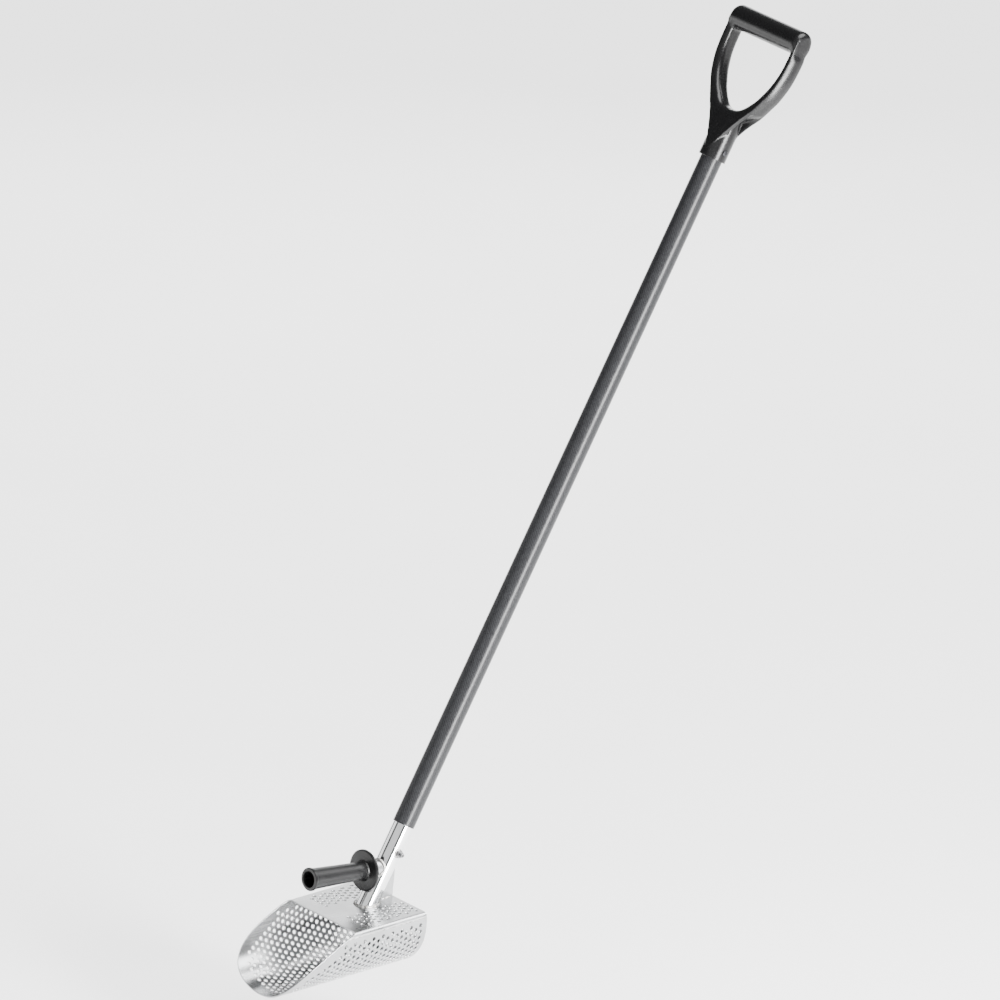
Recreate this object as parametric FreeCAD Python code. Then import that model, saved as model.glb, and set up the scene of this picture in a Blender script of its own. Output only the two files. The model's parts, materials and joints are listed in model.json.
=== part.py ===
"""Beach sand scoop: a perforated stainless scoop head on a carbon-fibre pole.

The head is a bent, perforated sheet with a raked mouth. A tube welded to its top plate takes
the pole's spigot, which a clamp screw holds. A side grip screws into a boss on the tube, and a
D-shaped handle closes the pole. Millimetres, +Z up, the mouth faces -Y.
"""

import math
import os

import FreeCAD
import Part
from FreeCAD import Placement, Rotation, Vector

# ---- driving dimensions ----------------------------------------------------------------------

# scoop head: a U-shaped trough with a flat top plate
SCOOP_WIDTH = 150.0
SCOOP_DEPTH = 94.0
PLATE_LENGTH = 130.0
SHEET = 2.0
SHOULDER_RADIUS = 5.0       # bend where the top plate turns down into the walls
SHOULDER_DROP = 7.0         # seam between top plate and trough, below the top face
LIP_REACH = 112.0           # how far the bottom lip stands in front of the top plate
LIP_DEPTH = 88.0            # depth at which the lip's curve has become vertical

# perforation: round holes on a 60 degree staggered lattice
HOLE_DIAMETER = 5.8
HOLE_PITCH = 10.0
LIP_MARGIN = 15.0           # lip edge to nearest hole centre
SIDE_MARGIN = 16.0          # top face to nearest hole centre on the walls
REAR_MARGIN = 11.0          # rear edge to nearest hole centre
STRIP_HALF_WIDTH = 22.0     # plain strip along the middle of the top plate
EDGE_MARGIN = 13.0          # side of the top plate to nearest hole centre
FRONT_MARGIN = 26.0         # front of the top plate to nearest hole centre

# pole axis: leans back from the top plate, starting at its foot on the plate
POLE_TILT = 30.0            # degrees from vertical
FOOT_Y = -48.0              # foot of the axis, measured from the rear edge
TUBE_RADIUS = 15.0
TUBE_WALL = 1.5
TUBE_LENGTH = 122.0
POLE_RADIUS = 16.0
POLE_WALL = 2.0
POLE_GAP = 0.4              # tube rim to pole end
POLE_VISIBLE = 1038.0       # tube rim to handle socket
FIT_CLEARANCE = 0.05        # radial clearance of everything that slides or turns

# spigot: the metal liner bonded in the pole, which slides into the tube
SPIGOT_START = 18.0
SPIGOT_END = 222.0
SPIGOT_BORE = 11.5

# clamp: a welded nut on the tube's side with a soft-tipped screw
CLAMP_HEIGHT = 82.0         # along the pole axis
NUT_ACROSS_FLATS = 10.0
NUT_FACE_X = 20.0
CLAMP_RADIUS = 3.0
CLAMP_END_X = 25.0
TIP_GAP = 0.35              # spigot to screw tip at rest
TIP_LENGTH = 2.2
TIP_PIN_RADIUS = 1.2
TIP_PIN_LENGTH = 3.0

# gusset: the stay between the tube's back and the plate
GUSSET_THICKNESS = 3.0
GUSSET_TOP_Z = 54.0
GUSSET_SLIT = 16.0

# side grip: hollow moulding with a guard disc on a threaded stud
GRIP_HEIGHT = 56.0          # along the pole axis
GRIP_RISE = 6.0             # degrees above the plate
BOSS_RADIUS = 12.0
BOSS_END = 31.0             # distances from the pole axis along the grip's own axis
WASHER_THICKNESS = 1.6
FACE_GAP = 0.3
DISC_START = 34.0
DISC_END = 40.0
DISC_RADIUS = 30.0
GRIP_END = 141.0
GRIP_RADIUS = 14.0
GRIP_END_RADIUS = 15.0
GRIP_BORE_RADIUS = 12.0
GRIP_BORE_START = 60.0
STUD_RADIUS = 5.0
STUD_START = 19.5
STUD_END = 52.0

# D-handle, in its own plane: x across, s along the pole from the socket's rim
SOCKET_RADIUS = 20.0
SOCKET_DEPTH = 48.0
BAR_S = 199.0
BAR_RADIUS = 18.0
BAR_HALF_LENGTH = 70.0
LEG_HALF_DEPTH = 15.0

# ---- worked out from the driving dimensions --------------------------------------------------

HALF_WIDTH = SCOOP_WIDTH / 2
WALL_STRAIGHT = SCOOP_DEPTH - HALF_WIDTH
QUARTER_ARC = math.pi / 2 * HALF_WIDTH
TILT = math.radians(POLE_TILT)
POLE_DIRECTION = Vector(0, math.sin(TILT), math.cos(TILT))
TUBE_BORE = TUBE_RADIUS - TUBE_WALL
SOCKET_S = TUBE_LENGTH + POLE_VISIBLE
BAR_AXIS_S = SOCKET_S + BAR_S
SPIGOT_RADIUS = TUBE_BORE - FIT_CLEARANCE
TIP_START_X = SPIGOT_RADIUS + TIP_GAP
POLE_BORE = POLE_RADIUS - POLE_WALL

# The model is drawn with the top plate's rear edge at y = 0 and its top face at z = 0, then
# moved so that the origin is the bottom centre of the whole object's box.
LIP_TIP_Y = -(PLATE_LENGTH + LIP_REACH)
GRIP_BACK_Y = FOOT_Y + BAR_AXIS_S * math.sin(TILT) + BAR_RADIUS
TO_ORIGIN = Vector(0, -(LIP_TIP_Y + GRIP_BACK_Y) / 2, SCOOP_DEPTH)

# placements of the two slanted frames: local Z runs along the pole, or out along the side grip
ALONG_POLE = Placement(Vector(0, FOOT_Y, 0), Rotation(Vector(1, 0, 0), -POLE_TILT))
GRIP_ORIGIN = Vector(0, FOOT_Y, 0) + POLE_DIRECTION * GRIP_HEIGHT
ALONG_GRIP = Placement(GRIP_ORIGIN, Rotation(Vector(1, 0, 0), 90 - GRIP_RISE))

X = Vector(1, 0, 0)
Y = Vector(0, 1, 0)
Z = Vector(0, 0, 1)


def save(name, shape):
    """Write one node's STEP file in the finished frame."""
    placed = shape.copy()
    placed.translate(TO_ORIGIN)
    placed.exportStep(f"parts/{name}.step")


def moved(shape, placement):
    """The shape carried from a slanted frame into the drawing frame."""
    result = shape.copy()
    result.Placement = placement.multiply(result.Placement)
    return result


def cylinder(radius, start, end, axis=Z, centre=Vector(0, 0, 0)):
    """A cylinder between two distances along an axis through a centre."""
    return Part.makeCylinder(radius, end - start, centre + axis * start, axis)


def tube(outer, inner, start, end):
    return cylinder(outer, start, end).cut(cylinder(inner, start - 1, end + 1))


def hex_prism(across_flats, start, end, axis_x):
    """A hexagonal prism along X, centred on the given distance along local Z."""
    corner = across_flats / math.sqrt(3)
    points = []
    for i in range(7):
        angle = math.radians(60 * i)
        points.append(Vector(start, corner * math.sin(angle), axis_x + corner * math.cos(angle)))
    return Part.Face(Part.makePolygon(points)).extrude(X * (end - start))


def face_from(edges):
    return Part.Face(Part.Wire(edges))


# ---- scoop head ------------------------------------------------------------------------------

def trough_outline(inset, top):
    """Closed U-shaped outline in the XZ plane, inset from the outer surface."""
    half = HALF_WIDTH - inset
    centre_z = -WALL_STRAIGHT
    left_top = Vector(-half, 0, top)
    left_low = Vector(-half, 0, centre_z)
    bottom = Vector(0, 0, centre_z - half)
    right_low = Vector(half, 0, centre_z)
    right_top = Vector(half, 0, top)
    return [
        Part.makeLine(left_top, left_low),
        Part.Arc(left_low, bottom, right_low).toShape(),
        Part.makeLine(right_low, right_top),
        Part.makeLine(right_top, left_top),
    ]


def behind_lip():
    """Everything behind the raked lip, whose side view is a parabola."""
    top = Vector(-100, -PLATE_LENGTH, 0)
    handle = Vector(-100, -PLATE_LENGTH - LIP_REACH, -LIP_DEPTH / 2)
    tip = Vector(-100, LIP_TIP_Y, -LIP_DEPTH)
    curve = Part.BezierCurve()
    curve.setPoles([top, handle, tip])
    below = Vector(-100, LIP_TIP_Y, -SCOOP_DEPTH - 10)
    rear_below = Vector(-100, 10, -SCOOP_DEPTH - 10)
    rear_above = Vector(-100, 10, 10)
    front_above = Vector(-100, -PLATE_LENGTH, 10)
    outline = [
        curve.toShape(),
        Part.makeLine(tip, below),
        Part.makeLine(below, rear_below),
        Part.makeLine(rear_below, rear_above),
        Part.makeLine(rear_above, front_above),
        Part.makeLine(front_above, top),
    ]
    return face_from(outline).extrude(X * 200)


def lip_y(z):
    """The lip's place at a height below the top face."""
    t = 1 - min(-z / LIP_DEPTH, 1.0)
    return -PLATE_LENGTH - LIP_REACH * (1 - t * t)


def wall_point(u):
    """Point and outward normal of the trough at arc length u from its bottom centre."""
    side = math.copysign(1, u)
    past = max(abs(u) - QUARTER_ARC, 0)
    angle = (u - side * past) / HALF_WIDTH
    normal = Vector(math.sin(angle), 0, -math.cos(angle))
    return Vector(0, 0, past - WALL_STRAIGHT) + normal * HALF_WIDTH, normal


def lattice(columns, rows):
    """Staggered lattice points: columns stand apart along y, rows run across."""
    column_step = HOLE_PITCH * math.sqrt(3) / 2
    for column in range(columns):
        stagger = HOLE_PITCH / 2 * (column % 2)
        for row in range(-rows, rows + 1):
            yield row * HOLE_PITCH + stagger, -column * column_step


def trough_holes():
    """Radial hole tools for every lattice point clear of the lip, the top and the rear."""
    u_limit = QUARTER_ARC + WALL_STRAIGHT - SIDE_MARGIN
    lip = []
    for i in range(-60, 61):
        u = u_limit * i / 60
        lip.append((u, lip_y(wall_point(u)[0].z)))
    tools = []
    for u, back in lattice(30, 14):
        y = back - REAR_MARGIN
        lip_distance = min(math.hypot(u - a, y - b) for a, b in lip)
        if abs(u) > u_limit or lip_distance < LIP_MARGIN or y < lip_y(wall_point(u)[0].z):
            continue
        point, normal = wall_point(u)
        start = point + Y * y - normal * (SHEET + 2)
        tools.append(Part.makeCylinder(HOLE_DIAMETER / 2, SHEET + 4, start, normal))
    return tools


def scoop_shell():
    outer = face_from(trough_outline(0, -SHOULDER_DROP))
    inner = face_from(trough_outline(SHEET, 10))
    wall = outer.cut(inner).extrude(Y * (LIP_TIP_Y - 5))
    wall = wall.common(behind_lip())
    return wall.cut(Part.makeCompound(trough_holes()))


def top_plate():
    """Flat plate whose sides bend down to meet the trough."""
    outline = []
    for radius, half, top in ((SHOULDER_RADIUS, HALF_WIDTH, 0.0),
                              (SHOULDER_RADIUS - SHEET, HALF_WIDTH - SHEET, -SHEET)):
        slab = Part.makeBox(2 * half, PLATE_LENGTH + 40, SHOULDER_DROP + top,
                            Vector(-half, -PLATE_LENGTH - 40, -SHOULDER_DROP))
        shoulders = [e for e in slab.Edges
                     if abs(e.CenterOfMass.z - top) < 0.01 and abs(abs(e.CenterOfMass.x) - half) < 0.01]
        outline.append(slab.makeFillet(radius, shoulders))
    plate = outline[0].cut(outline[1]).common(behind_lip())
    tools = []
    x_limit = HALF_WIDTH - EDGE_MARGIN
    for x, back in lattice(12, 8):
        y = back - REAR_MARGIN + 3
        if STRIP_HALF_WIDTH <= abs(x) <= x_limit and y >= -PLATE_LENGTH + FRONT_MARGIN:
            tools.append(cylinder(HOLE_DIAMETER / 2, -SHEET - 1, 1, centre=Vector(x, y, 0)))
    return plate.cut(Part.makeCompound(tools))


def rear_plate():
    """Perforated plate that closes the trough's back, set inside the wall."""
    plate = face_from(trough_outline(SHEET, -SHEET)).extrude(Y * -SHEET)
    corner_cut = Part.makeBox(2 * HALF_WIDTH, SHEET, SHOULDER_RADIUS - SHEET,
                              Vector(-HALF_WIDTH, -SHEET, -SHOULDER_RADIUS))
    channel = Part.makeBox(2 * HALF_WIDTH - 2 * SHEET, SHEET, SHOULDER_RADIUS - SHEET,
                           Vector(-HALF_WIDTH + SHEET, -SHEET, -SHOULDER_RADIUS))
    corners = [e for e in channel.Edges
               if abs(e.CenterOfMass.z + SHEET) < 0.01 and abs(abs(e.CenterOfMass.x) - HALF_WIDTH + SHEET) < 0.01]
    channel = channel.makeFillet(SHOULDER_RADIUS - SHEET - 0.01, corners)
    plate = plate.cut(corner_cut.cut(channel))
    tools = []
    reach = HALF_WIDTH - SHEET - 11
    for x, down in lattice(10, 8):
        z = down - 16
        below = min(z + WALL_STRAIGHT, 0)
        if math.hypot(x, below) <= reach:
            tools.append(cylinder(HOLE_DIAMETER / 2, -SHEET - 1, 1, axis=Y, centre=Vector(x, 0, z)))
    return plate.cut(Part.makeCompound(tools))


def seam_welds():
    """Ground bead along each seam between top plate and trough."""
    beads = []
    for side in (-1, 1):
        centre = Vector(side * HALF_WIDTH, 0, -SHOULDER_DROP)
        bead = cylinder(0.9, -1, PLATE_LENGTH + 14, axis=-Y, centre=centre)
        outside = Part.makeBox(10, PLATE_LENGTH + 12, 10, Vector(0, -PLATE_LENGTH - 12, -5))
        outside.translate(centre if side > 0 else centre - X * 10)
        beads.append(bead.common(outside).common(behind_lip()))
    return Part.makeCompound(beads)


def rear_weld():
    """Bead that follows the joint between rear plate and trough."""
    bead_radius = 1.6
    half = HALF_WIDTH - SHEET
    left = Vector(-half, 0, -SHOULDER_DROP)
    left_low = Vector(-half, 0, -WALL_STRAIGHT)
    right_low = Vector(half, 0, -WALL_STRAIGHT)
    path = Part.Wire([
        Part.makeLine(left, left_low),
        Part.Arc(left_low, Vector(0, 0, -WALL_STRAIGHT - half), right_low).toShape(),
        Part.makeLine(right_low, Vector(half, 0, -SHOULDER_DROP)),
    ])
    profile = Part.Wire(Part.makeCircle(bead_radius, left, Z))
    bead = path.makePipeShell([profile], True, True)
    behind = Part.makeBox(2 * SCOOP_WIDTH, 10, 2 * SCOOP_WIDTH, Vector(-SCOOP_WIDTH, 0, -SCOOP_WIDTH * 1.5))
    return bead.common(behind)


# ---- socket tube, gusset and welds -----------------------------------------------------------

def above_plate():
    return Part.makeBox(400, 400, 400, Vector(-200, -250, 0))


def tube_body(radius, start=-30.0, end=TUBE_LENGTH):
    return moved(cylinder(radius, start, end), ALONG_POLE)


def clamp_hole(radius):
    return moved(cylinder(radius, 0, 40, axis=X, centre=Vector(0, 0, CLAMP_HEIGHT)), ALONG_POLE)


def socket_tube():
    wall = tube_body(TUBE_RADIUS).cut(tube_body(TUBE_BORE, end=TUBE_LENGTH + 1))
    return wall.common(above_plate()).cut(clamp_hole(CLAMP_RADIUS + FIT_CLEARANCE))


def foot_weld():
    collar = tube_body(TUBE_RADIUS + 3.2).cut(tube_body(TUBE_RADIUS))
    slab = Part.makeBox(100, 100, 2.6, Vector(-50, -100, 0))
    return collar.common(slab).cut(gusset_plate())


def gusset_plate():
    """Triangular stay behind the tube, with its inner corner cut away."""
    def tube_back(z):
        return FOOT_Y + z * math.tan(TILT) + TUBE_RADIUS / math.cos(TILT)

    slope = 3.0 / GUSSET_TOP_Z
    corner = Vector(-GUSSET_THICKNESS / 2, 0, 0)
    points = [
        Vector(0, tube_back(0) + 6, 0),
        Vector(0, -SHEET, 0),
        Vector(0, -SHEET + slope * GUSSET_TOP_Z, GUSSET_TOP_Z),
        Vector(0, tube_back(GUSSET_TOP_Z) - 4, GUSSET_TOP_Z),
        Vector(0, tube_back(GUSSET_SLIT) - 4, GUSSET_SLIT),
        Vector(0, tube_back(GUSSET_SLIT), GUSSET_SLIT),
        Vector(0, tube_back(0) + 6, 0),
    ]
    blade = Part.Face(Part.makePolygon([corner + p for p in points])).extrude(X * GUSSET_THICKNESS)
    return blade.cut(tube_body(TUBE_RADIUS))


def gusset_welds():
    """Beads along both faces of the gusset, on the plate and up the tube."""
    plate_start = Vector(0, FOOT_Y + TUBE_RADIUS / math.cos(TILT) + 8, 0)
    beads = []
    for side in (-1, 1):
        offset = X * side * GUSSET_THICKNESS / 2
        beads.append(cylinder(1.7, 0, 19, axis=Y, centre=plate_start + offset))
        tube_line = Vector(0, TUBE_RADIUS, 0)
        up_tube = cylinder(1.7, 24, 56, centre=tube_line + offset)
        beads.append(moved(up_tube, ALONG_POLE))
    solids = []
    for bead in beads:
        clear = bead.common(above_plate()).cut(gusset_plate()).cut(tube_body(TUBE_RADIUS))
        solids.extend(clear.Solids)
    return Part.makeCompound(solids)


def grip_cylinder(radius, start, end):
    return moved(cylinder(radius, start, end), ALONG_GRIP)


def grip_boss():
    boss = grip_cylinder(BOSS_RADIUS, 5, BOSS_END).cut(tube_body(TUBE_RADIUS))
    return boss.cut(grip_cylinder(STUD_RADIUS + FIT_CLEARANCE, 0, BOSS_END + 1))


def boss_weld():
    """Ring of weld where the boss meets the tube."""
    ring = grip_cylinder(BOSS_RADIUS + 2.8, 5, BOSS_END - 3).common(tube_body(TUBE_RADIUS + 2.8))
    return ring.cut(tube_body(TUBE_RADIUS)).cut(grip_cylinder(BOSS_RADIUS, 0, BOSS_END))


def clamp_nut():
    nut = moved(hex_prism(NUT_ACROSS_FLATS, TUBE_RADIUS - 3, NUT_FACE_X, CLAMP_HEIGHT), ALONG_POLE)
    return nut.cut(tube_body(TUBE_RADIUS)).cut(clamp_hole(CLAMP_RADIUS + FIT_CLEARANCE))


def clamp_weld():
    """Ring of weld where the clamp nut meets the tube."""
    ring = clamp_hole(NUT_ACROSS_FLATS / 2 + 2.6).common(tube_body(TUBE_RADIUS + 1.6))
    nut_space = moved(hex_prism(NUT_ACROSS_FLATS, 0, NUT_FACE_X, CLAMP_HEIGHT), ALONG_POLE)
    return ring.cut(tube_body(TUBE_RADIUS)).cut(nut_space)


# ---- clamp screw -----------------------------------------------------------------------------


def clamp_screw():
    start = TIP_START_X + TIP_LENGTH + FACE_GAP
    centre = Vector(0, 0, CLAMP_HEIGHT)
    screw = cylinder(CLAMP_RADIUS, start, CLAMP_END_X, axis=X, centre=centre)
    rim = [e for e in screw.Edges if abs(e.CenterOfMass.x - CLAMP_END_X) < 0.01]
    screw = screw.makeChamfer(0.5, rim)
    screw = screw.cut(hex_prism(3.0, CLAMP_END_X - 3.0, CLAMP_END_X + 1, CLAMP_HEIGHT))
    pin_hole = cylinder(TIP_PIN_RADIUS + FIT_CLEARANCE, start - 1,
                        start + TIP_PIN_LENGTH, axis=X, centre=centre)
    return moved(screw.cut(pin_hole), ALONG_POLE)


def clamp_screw_tip():
    """Soft pad that presses on the spigot without turning with the screw."""
    centre = Vector(0, 0, CLAMP_HEIGHT)
    pad_end = TIP_START_X + TIP_LENGTH
    pad = cylinder(CLAMP_RADIUS - 0.4, TIP_START_X, pad_end, axis=X, centre=centre)
    pin = cylinder(TIP_PIN_RADIUS, pad_end - 0.5, pad_end + TIP_PIN_LENGTH - 0.4, axis=X, centre=centre)
    return moved(pad.fuse(pin).removeSplitter(), ALONG_POLE)


# ---- side grip -------------------------------------------------------------------------------

def side_grip():
    """Hollow moulding turned about its own axis, with a guard disc at the tube end."""
    collar_start = BOSS_END + 2 * FACE_GAP + WASHER_THICKNESS
    corners = [
        (STUD_RADIUS, collar_start),
        (BOSS_RADIUS, collar_start),
        (BOSS_RADIUS, DISC_START),
        (DISC_RADIUS - 1.5, DISC_START),
        (DISC_RADIUS, DISC_START + 1.5),
        (DISC_RADIUS, DISC_END - 2.0),
        (DISC_RADIUS - 2.0, DISC_END - 0.8),
        (GRIP_RADIUS + 1.6, DISC_END),
        (GRIP_RADIUS + 1.0, DISC_END + 2),
        (GRIP_RADIUS - 0.5, DISC_END + 3),
        (GRIP_RADIUS - 0.8, DISC_END + 14),
        (GRIP_END_RADIUS, GRIP_END - 12),
        (GRIP_END_RADIUS + 0.3, GRIP_END - 5),
        (GRIP_END_RADIUS + 1.8, GRIP_END - 3.5),
        (GRIP_END_RADIUS + 1.8, GRIP_END - 1),
        (GRIP_END_RADIUS + 0.8, GRIP_END),
        (GRIP_BORE_RADIUS, GRIP_END),
        (GRIP_BORE_RADIUS, GRIP_BORE_START),
        (STUD_RADIUS, GRIP_BORE_START),
        (STUD_RADIUS, collar_start),
    ]
    outline = Part.makePolygon([Vector(radius, 0, along) for radius, along in corners])
    body = Part.Face(outline).revolve(Vector(0, 0, 0), Z, 360)
    return moved(body.fuse(cylinder(STUD_RADIUS + 2, STUD_END, GRIP_BORE_START)).cut(stud_shape()),
                 ALONG_GRIP)


def stud_shape():
    """Threaded stud with a flanged head moulded into the grip."""
    shank = cylinder(STUD_RADIUS, STUD_START, STUD_END)
    flange = cylinder(STUD_RADIUS + 3.5, STUD_END - 5, STUD_END)
    return shank.fuse(flange).removeSplitter()


def grip_stud():
    return moved(stud_shape(), ALONG_GRIP)


def grip_washer():
    start = BOSS_END + FACE_GAP
    washer = tube(BOSS_RADIUS - 2, STUD_RADIUS + FIT_CLEARANCE, start, start + WASHER_THICKNESS)
    return moved(washer, ALONG_GRIP)


# ---- pole, spigot and D-handle ---------------------------------------------------------------

def carbon_pole():
    pole = tube(POLE_RADIUS, POLE_BORE, TUBE_LENGTH + POLE_GAP, SOCKET_S + SOCKET_DEPTH)
    return moved(pole.cut(handle_screw_shape()), ALONG_POLE)


def pole_spigot():
    """Metal liner: a full-width part bonded in the pole and a turned-down part for the tube."""
    shoulder = TUBE_LENGTH + POLE_GAP
    spigot = cylinder(SPIGOT_RADIUS, SPIGOT_START, shoulder)
    nose = [e for e in spigot.Edges if abs(e.CenterOfMass.z - SPIGOT_START) < 0.01]
    spigot = spigot.makeChamfer(1.0, nose)
    spigot = spigot.fuse(cylinder(POLE_BORE, shoulder, SPIGOT_END))
    return moved(spigot.cut(cylinder(SPIGOT_BORE, 0, SPIGOT_END + 1)), ALONG_POLE)


def handle_screw_shape():
    """Pan-head screw through the socket and into the pole's wall, on the +X side."""
    centre = Vector(0, 0, SOCKET_S + 14)
    shank = cylinder(2.0, POLE_BORE - 3, SOCKET_RADIUS, axis=X, centre=centre)
    head = cylinder(4.0, SOCKET_RADIUS - 1.2, SOCKET_RADIUS + 1.4, axis=X, centre=centre)
    rim = [e for e in head.Edges if abs(e.CenterOfMass.x - SOCKET_RADIUS - 1.4) < 0.01]
    head = head.makeFillet(1.0, rim)
    return shank.fuse(head).removeSplitter()


def d_handle_screw():
    centre = Vector(0, 0, SOCKET_S + 14)
    screw = handle_screw_shape()
    for turn in (0, 90):
        slot = Part.makeBox(4, 0.9, 4.4, Vector(SOCKET_RADIUS + 0.4, -0.45, -2.2))
        slot.rotate(Vector(0, 0, 0), X, turn)
        slot.translate(centre)
        screw = screw.cut(slot)
    return moved(screw, ALONG_POLE)


def mirrored_spline(points):
    """A smooth curve through points and their mirror images across x = 0."""
    return [Vector(x, 0, s) for x, s in points], [Vector(-x, 0, s) for x, s in reversed(points)]


def spline_edge(points):
    curve = Part.BSplineCurve()
    curve.interpolate(points)
    return curve.toShape()


def d_frame():
    """The Y-shaped neck and the two legs, extruded through the handle's depth."""
    right, left = mirrored_spline([
        (3.0, 12.0), (13.0, 31.0), (23.0, 48.0), (33.5, 64.0), (45.0, 80.0),
        (58.0, 100.0), (67.0, 120.0), (73.5, 145.0), (75.5, 170.0), (72.0, BAR_S - 9),
    ])
    outer_wire = Part.Wire([
        spline_edge(right),
        Part.makeLine(right[-1], left[0]),
        spline_edge(left),
        Part.makeLine(left[-1], right[0]),
    ])
    inner_right, inner_left = mirrored_spline([
        (0.0, 75.0), (20.0, 82.0), (38.0, 100.0), (53.0, 128.0), (59.5, 154.0), (61.0, BAR_S - 2),
    ])
    inner_wire = Part.Wire([
        spline_edge(inner_left[:-1] + inner_right),
        Part.makeLine(inner_right[-1], inner_left[0]),
    ])
    depth = 2 * SOCKET_RADIUS
    solid = Part.Face(outer_wire).extrude(Y * depth).cut(Part.Face(inner_wire).extrude(Y * depth))
    solid.translate(Y * -SOCKET_RADIUS)
    return solid


def depth_envelope():
    """Side view of the handle: a flat sloping front and a back that thins at the neck."""
    points = [
        (-SOCKET_RADIUS - 0.2, 5.0), (-SOCKET_RADIUS + 0.1, 12.0), (-LEG_HALF_DEPTH, 86.0),
        (-LEG_HALF_DEPTH, BAR_S + 5), (LEG_HALF_DEPTH, BAR_S + 5), (LEG_HALF_DEPTH, 96.0),
        (6.0, 66.0), (2.0, 5.0),
    ]
    points.append(points[0])
    polygon = Part.makePolygon([Vector(-100, y, s) for y, s in points])
    return Part.Face(polygon).extrude(X * 200)


def d_handle():
    frame = d_frame().common(depth_envelope())
    back_edges = []
    for edge in frame.Edges:
        box = edge.BoundBox
        if box.YMin > LEG_HALF_DEPTH - 0.01 and box.ZLength > 20:
            back_edges.append(edge)
    frame = frame.makeFillet(4.5, back_edges)

    bar = cylinder(BAR_RADIUS, -BAR_HALF_LENGTH, BAR_HALF_LENGTH, axis=X, centre=Z * BAR_S)
    ends = [e for e in bar.Edges if abs(abs(e.CenterOfMass.x) - BAR_HALF_LENGTH) < 0.01]
    bar = bar.makeFillet(3.0, ends)

    socket = cylinder(SOCKET_RADIUS, 0, 52)
    crown = Part.makeCone(SOCKET_RADIUS, 11.0, 22, Vector(0, 0, 52))
    body = frame.fuse([bar, socket, crown])
    body = body.cut(cylinder(POLE_RADIUS, -1, SOCKET_DEPTH))
    body.translate(Z * SOCKET_S)
    return moved(body.cut(handle_screw_shape()), ALONG_POLE)


NODES = {
    "scoop_shell": scoop_shell,
    "top_plate": top_plate,
    "rear_plate": rear_plate,
    "seam_welds": seam_welds,
    "rear_weld": rear_weld,
    "socket_tube": socket_tube,
    "foot_weld": foot_weld,
    "gusset_plate": gusset_plate,
    "gusset_welds": gusset_welds,
    "grip_boss": grip_boss,
    "boss_weld": boss_weld,
    "clamp_nut": clamp_nut,
    "clamp_weld": clamp_weld,
    "clamp_screw": clamp_screw,
    "clamp_screw_tip": clamp_screw_tip,
    "side_grip": side_grip,
    "grip_stud": grip_stud,
    "grip_washer": grip_washer,
    "carbon_pole": carbon_pole,
    "pole_spigot": pole_spigot,
    "d_handle": d_handle,
    "d_handle_screw": d_handle_screw,
}

os.makedirs("parts", exist_ok=True)
for node_name, build in NODES.items():
    save(node_name, build())
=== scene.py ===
"""Beach sand scoop, dressed for a product photograph.

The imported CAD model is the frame. The perforated sheets, the weld beads and the D-handle are
rebuilt here as finer meshes in the same places. The other pieces are the CAD model's own, and every
piece gets a procedural material. Metres throughout; lengths written in millimetres are multiplied
by MM.
"""

import json
import math

import bmesh
import bpy
import numpy as np
from mathutils import Matrix, Vector, geometry, noise


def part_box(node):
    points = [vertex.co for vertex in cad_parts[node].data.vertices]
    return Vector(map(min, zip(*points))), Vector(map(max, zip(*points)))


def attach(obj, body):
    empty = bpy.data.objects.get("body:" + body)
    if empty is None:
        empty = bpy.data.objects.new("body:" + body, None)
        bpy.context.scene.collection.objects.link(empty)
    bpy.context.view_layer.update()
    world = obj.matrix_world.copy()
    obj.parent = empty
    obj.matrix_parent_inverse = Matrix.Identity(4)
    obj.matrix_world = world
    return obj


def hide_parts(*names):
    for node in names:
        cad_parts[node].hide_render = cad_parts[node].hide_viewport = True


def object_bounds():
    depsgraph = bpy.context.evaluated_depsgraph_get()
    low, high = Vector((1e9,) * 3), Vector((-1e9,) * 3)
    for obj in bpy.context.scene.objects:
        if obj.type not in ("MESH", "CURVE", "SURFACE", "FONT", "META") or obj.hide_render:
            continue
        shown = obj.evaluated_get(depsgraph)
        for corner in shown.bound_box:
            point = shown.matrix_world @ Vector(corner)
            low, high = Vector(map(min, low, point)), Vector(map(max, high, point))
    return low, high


MM = 0.001
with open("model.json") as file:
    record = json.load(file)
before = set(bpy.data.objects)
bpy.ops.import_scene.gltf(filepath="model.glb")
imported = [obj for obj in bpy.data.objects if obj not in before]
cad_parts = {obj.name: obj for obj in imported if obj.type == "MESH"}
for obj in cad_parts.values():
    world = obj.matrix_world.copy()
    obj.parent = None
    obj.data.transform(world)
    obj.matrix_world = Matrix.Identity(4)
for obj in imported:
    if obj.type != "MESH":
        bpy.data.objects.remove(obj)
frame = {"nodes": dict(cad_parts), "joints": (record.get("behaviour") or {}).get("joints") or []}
cad_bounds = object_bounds()
nodes = frame["nodes"]
joints = {joint["name"]: joint for joint in frame["joints"]}

# ---- places, read from the frame -------------------------------------------------------------

X = Vector((1, 0, 0))
Y = Vector((0, 1, 0))
Z = Vector((0, 0, 1))


def low(node):
    """The lowest corner of a CAD node's box."""
    return Vector(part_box(node)[0])


def high(node):
    """The highest corner of a CAD node's box."""
    return Vector(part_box(node)[1])


def centre(node):
    """The middle of a CAD node's box."""
    return (low(node) + high(node)) / 2


HALF_WIDTH = high("scoop_shell").x
REAR_Y = high("scoop_shell").y
LIP_TIP_Y = low("scoop_shell").y
BOTTOM_Z = low("scoop_shell").z
TOP_Z = high("top_plate").z
SEAM_Z = low("top_plate").z

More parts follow.
